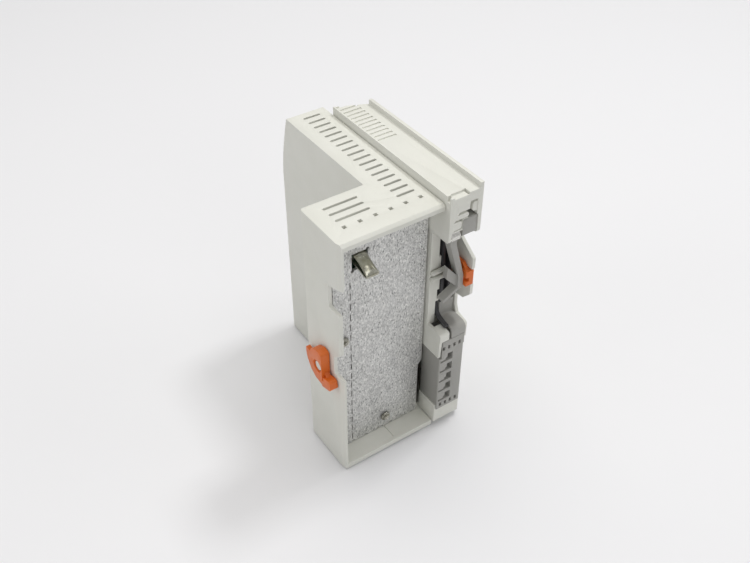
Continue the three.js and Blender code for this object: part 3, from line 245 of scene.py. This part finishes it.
def platedMetal(name, look):
    """Plated or rolled metal: fine draw lines, a soft stain, and a painted highlight that brightens the
    edges.
    """
    material, tree, shader, place = newMaterial(name)
    lines = noise(tree, stretched(tree, place, look["lineStretch"]), look["lineScale"], 3, 0.6)
    stain = noise(tree, place, look["stainScale"], 4, 0.6)
    tint = blended(tree, spread(tree, stain, *look["stainRange"]), look["colour"], look["shade"])
    # edges painted brighter: a painted highlight along them
    paintedEdgeHighlight = sums(tree, "MULTIPLY", edgeMask(tree, look["edgeRadius"]), look["edgeShare"])
    tint = blended(tree, paintedEdgeHighlight, tint, look["edge"])
    tree.links.new(tint, shader.inputs["Base Color"])
    shader.inputs["Metallic"].default_value = look["metallic"]
    tree.links.new(spread(tree, lines, *look["lineRange"], *look["roughness"]),
                   shader.inputs["Roughness"])
    tree.links.new(bumped(tree, lines, look["lineDepth"]), shader.inputs["Normal"])
    return material


# edge is the colour of the painted highlight along the metal's edges
steelLook = {
    "lineStretch": (0.15, 1, 1), "lineScale": 1800.0, "stainScale": 300.0,
    "colour": linear(196, 194, 184), "shade": linear(150, 148, 138), "edge": linear(250, 249, 244),
    "edgeRadius": 0.00015, "metallic": 1.0, "roughness": (0.14, 0.28), "lineDepth": 0.000006,
    "lineRange": (0.3, 0.7), "stainRange": (0.35, 0.7), "edgeShare": 0.5,
}
# the spring's wider edge radius spreads its painted edge highlight
leafLook = dict(steelLook, colour=linear(206, 206, 196), shade=linear(160, 157, 134),
                metallic=0.95, roughness=(0.14, 0.24), edgeRadius=0.0003, lineDepth=0.000002)
brightLook = dict(steelLook, colour=linear(236, 235, 230), shade=linear(210, 208, 202),
                  metallic=0.7, roughness=(0.18, 0.3))
copperLook = dict(steelLook, colour=linear(214, 170, 128), shade=linear(190, 136, 96),
                  edge=linear(236, 204, 170))


def boardLaminate(name, look):
    """Glass-cloth laminate under green lacquer: a woven ripple, copper tracks and open pads."""
    material, tree, shader, place = newMaterial(name)
    weave = tree.nodes.new("ShaderNodeTexWave")
    weave.inputs["Scale"].default_value = look["weaveScale"]
    weave.inputs["Distortion"].default_value = look["weaveBend"]
    tree.links.new(place, weave.inputs["Vector"])
    tracks = cells(tree, stretched(tree, place, look["trackStretch"]), look["trackScale"],
                   "DISTANCE_TO_EDGE", "Distance", look["trackRandom"])
    line = spread(tree, tracks, *look["trackEdge"], 1.0, 0.0)
    tint = blended(tree, line, look["colour"], look["track"])
    dots = cells(tree, place, look["padScale"], randomness=look["padRandom"])
    pads = spread(tree, dots, *look["padEdge"], 1.0, 0.0)
    tint = blended(tree, pads, tint, look["pad"])
    tree.links.new(tint, shader.inputs["Base Color"])
    tree.links.new(spread(tree, pads, 0, 1, *look["roughness"]), shader.inputs["Roughness"])
    tree.links.new(pads, shader.inputs["Metallic"])
    raised = bumped(tree, line, look["trackDepth"])
    tree.links.new(bumped(tree, weave.outputs["Fac"], look["weaveDepth"], under=raised),
                   shader.inputs["Normal"])
    return material


boardLook = {
    "weaveScale": 900.0, "weaveDepth": 0.000008, "trackStretch": (1, 1, 0.45), "trackScale": 700.0,
    "trackDepth": 0.00003, "padScale": 900.0, "colour": linear(34, 86, 58),
    "track": linear(52, 112, 74), "pad": linear(196, 192, 180), "weaveBend": 1.0,
    "trackRandom": 0.25, "trackEdge": (0.03, 0.06), "padRandom": 0.3, "padEdge": (0.1, 0.16),
    "roughness": (0.32, 0.22),
}

chipLook = dict(plasticLook, colour=linear(38, 38, 40), shade=linear(32, 32, 34),
                speck=linear(60, 60, 62), edge=linear(70, 70, 72), roughness=(0.5, 0.7))


def lightPipe(name, look):
    """Frosted clear plastic that carries light: part glass, slightly hazed."""
    material, tree, shader, place = newMaterial(name)
    haze = noise(tree, place, look["hazeScale"], 4)
    tree.links.new(blended(tree, haze, look["colour"], look["shade"]), shader.inputs["Base Color"])
    tree.links.new(spread(tree, haze, *look["hazeRange"], *look["roughness"]),
                   shader.inputs["Roughness"])
    tree.links.new(bumped(tree, haze, look["hazeDepth"]), shader.inputs["Normal"])
    shader.inputs["Transmission Weight"].default_value = look["clear"]
    shader.inputs["IOR"].default_value = look["refraction"]
    return material


lensLook = {"hazeScale": 500.0, "hazeDepth": 0.00002, "colour": linear(226, 230, 228),
            "shade": linear(205, 210, 208), "clear": 0.55, "hazeRange": (0.3, 0.7),
            "roughness": (0.12, 0.3), "refraction": 1.49}

finishes = {
    "housing": mouldedPlastic("paleHousing", housingLook),
    "insert": mouldedPlastic("grayInsert", insertLook),
    "dark_insert": mouldedPlastic("darkInsert", darkLook),
    "orange": mouldedPlastic("orangeLatch", orangeLook),
    "zinc": galvanisedSheet("galvanisedSheet", sheetLook),
    "steel": platedMetal("springSteel", steelLook),
    "leaf": platedMetal("earthingLeaf", leafLook),
    "bright": platedMetal("tinnedStrip", brightLook),
    "copper": platedMetal("tinnedCopper", copperLook),
    "board": boardLaminate("circuitBoard", boardLook),
    "chip": mouldedPlastic("chipResin", chipLook),
    "lens": lightPipe("lightPipe", lensLook),
}
print("finishes made:", len(finishes))


# ---- edges of the CAD pieces ---------------------------------------------------------------------

def smoothByAngle(limit):
    """Faces shade smooth except across edges that turn more than the limit."""
    group = bpy.data.node_groups.new("smoothByAngle", "GeometryNodeTree")
    group.interface.new_socket("Geometry", in_out="INPUT", socket_type="NodeSocketGeometry")
    group.interface.new_socket("Geometry", in_out="OUTPUT", socket_type="NodeSocketGeometry")
    start = group.nodes.new("NodeGroupInput")
    end = group.nodes.new("NodeGroupOutput")
    faces = group.nodes.new("GeometryNodeSetShadeSmooth")
    faces.domain = "FACE"
    edges = group.nodes.new("GeometryNodeSetShadeSmooth")
    edges.domain = "EDGE"
    edges.inputs["Shade Smooth"].default_value = False
    angle = group.nodes.new("GeometryNodeInputMeshEdgeAngle")
    compare = group.nodes.new("FunctionNodeCompare")
    compare.operation = "GREATER_THAN"
    compare.inputs["B"].default_value = limit
    group.links.new(angle.outputs["Unsigned Angle"], compare.inputs["A"])
    group.links.new(start.outputs[0], faces.inputs["Geometry"])
    group.links.new(faces.outputs[0], edges.inputs["Geometry"])
    group.links.new(compare.outputs[0], edges.inputs["Selection"])
    group.links.new(edges.outputs[0], end.inputs[0])
    return group


edgeLook = {
    "weld": 0.00002, "bevelAngle": math.radians(38),
    "smoothAngle": math.radians(34), "segments": 2,
    "wide": 0.00028, "narrow": 0.00012,
}
smoothing = smoothByAngle(edgeLook["smoothAngle"])


def softenEdges(piece, width, segments=edgeLook["segments"]):
    """Loose triangles are joined and sharp edges given a small round."""
    weld = piece.modifiers.new("weld", "WELD")
    weld.merge_threshold = edgeLook["weld"]
    rounding = piece.modifiers.new("rounding", "BEVEL")
    rounding.limit_method = "ANGLE"
    rounding.angle_limit = edgeLook["bevelAngle"]
    rounding.width = width
    rounding.segments = segments
    rounding.use_clamp_overlap = True
    rounding.miter_outer = "MITER_ARC"
    shading = piece.modifiers.new("shading", "NODES")
    shading.node_group = smoothing


slotOf = {part["node"]: part["material_slot"] for part in frame["record"]["subparts"]}
brighter = {"module_contact_strip": "bright"}   # nodes whose metal is shinier than their slot's

for name, piece in frame["nodes"].items():
    piece.data.materials.clear()
    piece.data.materials.append(finishes[brighter.get(name, slotOf[name])])
    softenEdges(piece, edgeLook["wide"] if "housing" in name else edgeLook["narrow"])
print("CAD pieces finished:", len(frame["nodes"]))


# ---- pieces drawn as surfaces --------------------------------------------------------------------

def closedTube(name, rings, finish, body):
    """A closed surface through rings of points, given as (ring, point, axis): quads run from each ring
    to the next and round it, and one face closes either end."""
    ringCount, pointCount = rings.shape[:2]
    ring, point = np.meshgrid(np.arange(ringCount - 1), np.arange(pointCount), indexing="ij")
    here, after = ring * pointCount + point, ring * pointCount + (point + 1) % pointCount
    quads = np.stack([here, after, after + pointCount, here + pointCount], axis=-1).reshape(-1, 4)
    first = np.arange(pointCount)[::-1]
    last = np.arange(pointCount) + (ringCount - 1) * pointCount
    mesh = bpy.data.meshes.new(name)
    mesh.from_pydata(rings.reshape(-1, 3).tolist(), [],
                     quads.tolist() + [first.tolist(), last.tolist()])
    mesh.update()
    if meshVolume(rings, quads) < 0:
        mesh.flip_normals()
    mesh.polygons.foreach_set("use_smooth", np.full(len(mesh.polygons), True))
    mesh.materials.append(finishes[finish])
    piece = bpy.data.objects.new(name, mesh)
    scene.collection.objects.link(piece)
    shading = piece.modifiers.new("shading", "NODES")
    shading.node_group = smoothing
    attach(piece, body)
    return piece


def meshVolume(rings, quads):
    """Signed volume of the quads, each split in two, from the triple product of its corners about the
    middle of the shape."""
    points = rings.reshape(-1, 3) - rings.reshape(-1, 3).mean(axis=0)
    a, b, c, d = (points[quads[:, k]] for k in range(4))
    return float((a * np.cross(b, c)).sum() + (a * np.cross(c, d)).sum())


def smoothPath(points, steps):
    """Catmull-Rom curve through points: each span is the cubic that leaves and meets its ends along the
    line between their neighbours."""
    points = np.asarray(points, float)
    padded = np.vstack([2 * points[0] - points[1], points, 2 * points[-1] - points[-2]])
    a, b, c, d = padded[:-3], padded[1:-2], padded[2:-1], padded[3:]
    t = np.linspace(0, 1, steps, endpoint=False)[None, :, None]
    a, b, c, d = (v[:, None, :] for v in (a, b, c, d))
    curve = 0.5 * (2 * b + (c - a) * t + (2 * a - 5 * b + 4 * c - d) * t ** 2
                   + (3 * b - a - 3 * c + d) * t ** 3)
    return np.vstack([curve.reshape(-1, points.shape[1]), points[-1:]])


springLook = {
    # rearward and upward of the lower rear corner of its box, in mm, from the root of the upper leaf
    "path": [(9.3, 4.72), (7.6, 4.5), (6.2, 4.15), (4.6, 3.55), (3.0, 2.75), (1.7, 2.0), (0.8, 1.5),
             (0.4, 1.2), (0.27, 0.88), (0.5, 0.55), (1.3, 0.45), (3.2, 0.75), (6.4, 1.35), (9.3, 1.9)],
    "steps": 14, "thickness": 0.46, "around": 44, "corner": 0.22, "channel": 0.55, "waist": 0.07,
    # the upper leaf's dish: the share of the path where it is deepest, and how fast it fades, squared
    "dishMiddle": 0.27, "dishReach": 0.05,
}


def earthingSpring(look):
    """Folded spring tongue. Its middle line is a smooth path in Y and Z; round it runs a rounded oblong,
    wide in X, that is dished over the upper leaf by a parabola across the width."""
    low, high = (np.array(corner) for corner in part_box("earthing_spring"))
    path = smoothPath(look["path"], look["steps"]) * mm + low[1:]
    along = np.gradient(path, axis=0)
    along /= np.linalg.norm(along, axis=1, keepdims=True)
    outward = np.stack([along[:, 1], -along[:, 0]], axis=1)
    progress = np.linspace(0, 1, len(path))[:, None]
    leaf = np.clip(1 - (progress - look["dishMiddle"]) ** 2 / look["dishReach"], 0, 1)
    angle = np.linspace(0, 2 * np.pi, look["around"], endpoint=False)[None, :]
    across = np.sign(np.cos(angle)) * np.abs(np.cos(angle)) ** look["corner"]
    through = np.sign(np.sin(angle)) * np.abs(np.sin(angle)) ** (2 * look["corner"])
    half = (high[0] - low[0]) / 2 * (1 - look["waist"] * leaf ** 2)
    lift = (through * look["thickness"] / 2 + leaf * look["channel"] * (across ** 2 - 0.5)) * mm
    x = (low[0] + high[0]) / 2 + across * half
    y = path[:, :1] - outward[:, :1] * lift
    z = path[:, 1:] - outward[:, 1:] * lift
    rings = np.stack([x, np.clip(y, low[1], high[1]), np.clip(z, low[2], high[2])], axis=-1)
    piece = closedTube("foldedEarthingSpring", rings, "leaf", "unit")
    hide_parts("earthing_spring")
    return piece


earthingSpring(springLook)

screwLook = {
    "around": 96, "cross": 0.26, "crossSoft": 0.1, "reach": 0.85, "reachSoft": 0.15, "depth": 0.5,
    "steps": 4, "headFront": 0.5,
    # share of the radius, and mm behind the front of the box, from the middle of the head to the shank
    "profile": [(0.02, 0.3), (0.45, 0.3), (0.55, 0.26), (0.62, 0.1), (0.72, 0.02), (0.84, 0.05),
                (0.95, 0.25), (0.995, 0.55), (0.98, 0.74), (0.6, 0.78), (0.57, 0.9)],
}


def shieldScrew(node, look):
    """Pan-head screw with a raised collar, turned about Y: the radius and the height follow a profile,
    and the front sinks by a smooth cross, deep where x or z is near the middle."""
    low, high = (np.array(corner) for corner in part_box(node))
    radius = (high[0] - low[0]) / 2
    centre = (low + high) / 2
    front, back = low[1], high[1]
    curve = smoothPath(look["profile"], look["steps"])
    r = curve[:, :1] * radius
    y = front + curve[:, 1:] * mm
    angle = np.linspace(0, 2 * np.pi, look["around"], endpoint=False)[None, :]
    x, z = r * np.cos(angle), r * np.sin(angle)
    near = np.minimum(np.abs(x), np.abs(z)) / mm
    bar = (np.clip((look["cross"] - near) / look["crossSoft"], 0, 1)
           * np.clip((look["reach"] - r / mm) / look["reachSoft"], 0, 1))
    sunk = y + bar * look["depth"] * mm * (curve[:, 1:] < look["headFront"])
    rings = np.stack([centre[0] + x, sunk, centre[2] + z], axis=-1)
    shank = np.repeat(rings[-1:], 2, axis=0)
    shank[1, :, 1] = back
    piece = closedTube(node + "Head", np.concatenate([rings, shank[1:]]), "steel", "unit")
    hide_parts(node)
    return piece


for node in ("shield_screw_lower", "shield_screw_side"):
    shieldScrew(node, screwLook)

pegLook = {
    "around": 40, "steps": 5, "noseScale": 0.6, "waist": 0.04, "waistAt": (0.3, 0.5, 0.7),
    # mm from the end, and share of the radius, over one rounded nose
    "profile": [(0.0, 0.35), (0.08, 0.7), (0.25, 0.93), (0.5, 1.0)],
}


def joiningPeg(node, look):
    """Moulded peg turned about X: a rounded nose at both ends and a barely waisted middle."""
    low, high = (np.array(corner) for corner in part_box(node))
    radius, length = (high[2] - low[2]) / 2, high[0] - low[0]
    nose = np.array(look["profile"]) * (look["noseScale"], 1)
    far = nose[::-1] * (-1, 1) + (length / mm, 0)
    middle = np.array([(length / mm * t, 1 - look["waist"] * math.sin(math.pi * t))
                       for t in look["waistAt"]])
    curve = smoothPath(np.vstack([nose, middle, far]), look["steps"])
    angle = np.linspace(0, 2 * np.pi, look["around"], endpoint=False)[None, :]
    x = np.clip(low[0] + curve[:, :1] * mm, low[0], high[0]) + 0 * angle
    r = np.clip(curve[:, 1:], 0, 1) * radius
    rings = np.stack([x, (low[1] + high[1]) / 2 + r * np.cos(angle),
                      (low[2] + high[2]) / 2 + r * np.sin(angle)], axis=-1)
    piece = closedTube(node + "Turned", rings, "housing", "unit")
    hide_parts(node)
    return piece


for node in ("joining_peg_upper", "joining_peg_lower"):
    joiningPeg(node, pegLook)

bandLook = {
    "fromRight": 0.35, "wide": 3.9, "narrow": 1.5, "top": 3.6, "bottom": 32.0, "rows": 760,
    "across": 60, "pitch": 1.0, "slant": 0.34, "column": 1.12, "height": 0.32, "fade": 0.3,
    "faceIn": 0.35, "behind": 0.0003, "least": 0.00001, "sharp": 1.6, "endFade": 60,
    "columnMiddle": 0.35, "columnSwing": 0.65, "columnSharp": 0.7, "wear": 0.28,
    "wearTurns": (17.3, 5.1, 3.7),
}


def serratedBand(look):
    """Knurled strip beside the right edge of the sheet: short slanted teeth. The height is a sharpened
    sine along Z, shifted by X for the slant, times a raised cosine across each column of teeth; the strip
    narrows downwards and its border fades into the sheet."""
    low, high = (np.array(corner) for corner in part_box("shield_plate"))
    v = np.linspace(0, 1, look["rows"])[:, None]
    u = np.linspace(0, 1, look["across"])[None, :]
    face = low[1] + look["faceIn"] * mm
    top, bottom = high[2] - look["top"] * mm, low[2] + look["bottom"] * mm
    z = top + v * (bottom - top)
    width = (look["wide"] + (look["narrow"] - look["wide"]) * v) * mm
    x = high[0] - look["fromRight"] * mm - width * (1 - u)
    phase = (z / mm + look["slant"] * x / mm) / look["pitch"]
    tooth = np.clip(0.5 + 0.5 * np.sin(2 * np.pi * phase), 0, 1) ** look["sharp"]
    swing = np.cos(2 * np.pi * (high[0] - x) / mm / look["column"])
    column = np.clip(look["columnMiddle"] + look["columnSwing"] * swing, 0, 1) ** look["columnSharp"]
    fast, slant, slow = look["wearTurns"]
    wear = 1 - look["wear"] + look["wear"] * np.sin(fast * phase + slant * u) * np.sin(slow * phase)
    fade = np.clip(np.minimum(u, 1 - u) * width / mm / look["fade"], 0, 1)
    ends = np.clip(np.minimum(v, 1 - v) * look["endFade"], 0, 1)
    lift = tooth * column * wear * fade * ends * look["height"] * mm + look["least"]
    outer = np.stack([x, face - lift, z + 0 * x], axis=-1)
    inner = np.stack([x, np.full_like(x, face + look["behind"]), z + 0 * x], axis=-1)[:, ::-1]
    return closedTube("serratedBand", np.concatenate([outer, inner], axis=1), "zinc", "unit")


serratedBand(bandLook)
print("surfaces drawn")


# ---- stage ---------------------------------------------------------------------------------------

stageLook = {
    "floorHalf": 1.6, "floor": linear(236, 236, 238), "floorRough": 0.75, "floorShine": 0.2,
    "world": (0.99, 0.99, 0.995, 1.0), "worldStrength": 0.42,
}


def paleFloor(look):
    half = look["floorHalf"]
    mesh = bpy.data.meshes.new("floor")
    mesh.from_pydata([(-half, -half, 0), (half, -half, 0), (half, half, 0), (-half, half, 0)],
                     [], [(0, 1, 2, 3)])
    floor = bpy.data.objects.new("floor", mesh)
    scene.collection.objects.link(floor)
    material, _, shader, _ = newMaterial("paleFloor")
    shader.inputs["Base Color"].default_value = look["floor"]
    shader.inputs["Roughness"].default_value = look["floorRough"]
    shader.inputs["Specular IOR Level"].default_value = look["floorShine"]
    mesh.materials.append(material)
    return floor


def softLight(name, place, target, size, power, colour):
    light = bpy.data.lights.new(name, "AREA")
    light.shape = "RECTANGLE"
    light.size, light.size_y = size
    light.energy = power
    light.color = colour
    lamp = bpy.data.objects.new(name, light)
    scene.collection.objects.link(lamp)
    lamp.location = place
    lamp.rotation_mode = "QUATERNION"
    lamp.rotation_quaternion = (Vector(target) - Vector(place)).to_track_quat("-Z", "Y")
    return lamp


paleFloor(stageLook)
# name, place, target, size in metres, watts, colour
for name, place, target, size, power, colour in (
    ("overhead", (0.05, 0.15, 1.0), (0, 0, 0.03), (0.9, 0.9), 4.3, (1.0, 0.98, 0.94)),
    ("side", (0.9, -0.5, 0.7), (0, 0, 0.05), (0.6, 0.6), 1.0, (1, 1, 1)),
    ("edge", (0.43, 0.0, 0.95), (0, -0.035, 0.095), (0.16, 0.16), 2.4, (1, 1, 1)),
    ("rear", (-0.15, -1.0, 0.6), (0, -0.03, 0.05), (0.5, 0.4), 0.85, (1, 1, 1)),
    ("left", (-1.0, 0.25, 0.5), (0, 0, 0.05), (0.5, 0.5), 1.1, (1, 1, 1)),
):
    softLight(name, place, target, size, power, colour)
world = bpy.data.worlds.new("softRoom")
world.use_nodes = True
back = world.node_tree.nodes["Background"]
back.inputs["Color"].default_value = stageLook["world"]
back.inputs["Strength"].default_value = stageLook["worldStrength"]
scene.world = world
scene.view_settings.view_transform = "Standard"
scene.view_settings.look = "None"

cameraLook = {
    "azimuth": math.radians(-34.518), "elevation": math.radians(40.415), "roll": math.radians(0.350),
    "distance": 0.31616, "target": (0.012006, -0.001560, 0.043875), "lens": 44.145, "sensor": 36.0,
    "clip": (0.01, 10),
}


def placeCamera(look):
    """The camera looks at the target from an azimuth (0 looks along +Y) and a height angle."""
    azimuth, elevation = look["azimuth"], look["elevation"]
    away = Vector((math.sin(azimuth) * math.cos(elevation),
                   -math.cos(azimuth) * math.cos(elevation), math.sin(elevation)))
    level = (-away).cross(Vector((0, 0, 1))).normalized()
    upright = level.cross(-away)
    turn, lean = math.cos(look["roll"]), math.sin(look["roll"])
    right = turn * level + lean * upright
    up = turn * upright - lean * level
    data = bpy.data.cameras.new("camera")
    data.lens, data.sensor_width = look["lens"], look["sensor"]
    data.clip_start, data.clip_end = look["clip"]
    camera = bpy.data.objects.new("camera", data)
    scene.collection.objects.link(camera)
    axes = Matrix((right, up, away)).transposed().to_4x4()
    camera.matrix_world = Matrix.Translation(Vector(look["target"]) + away * look["distance"]) @ axes
    scene.camera = camera
    return camera


placeCamera(cameraLook)
print("stage set")
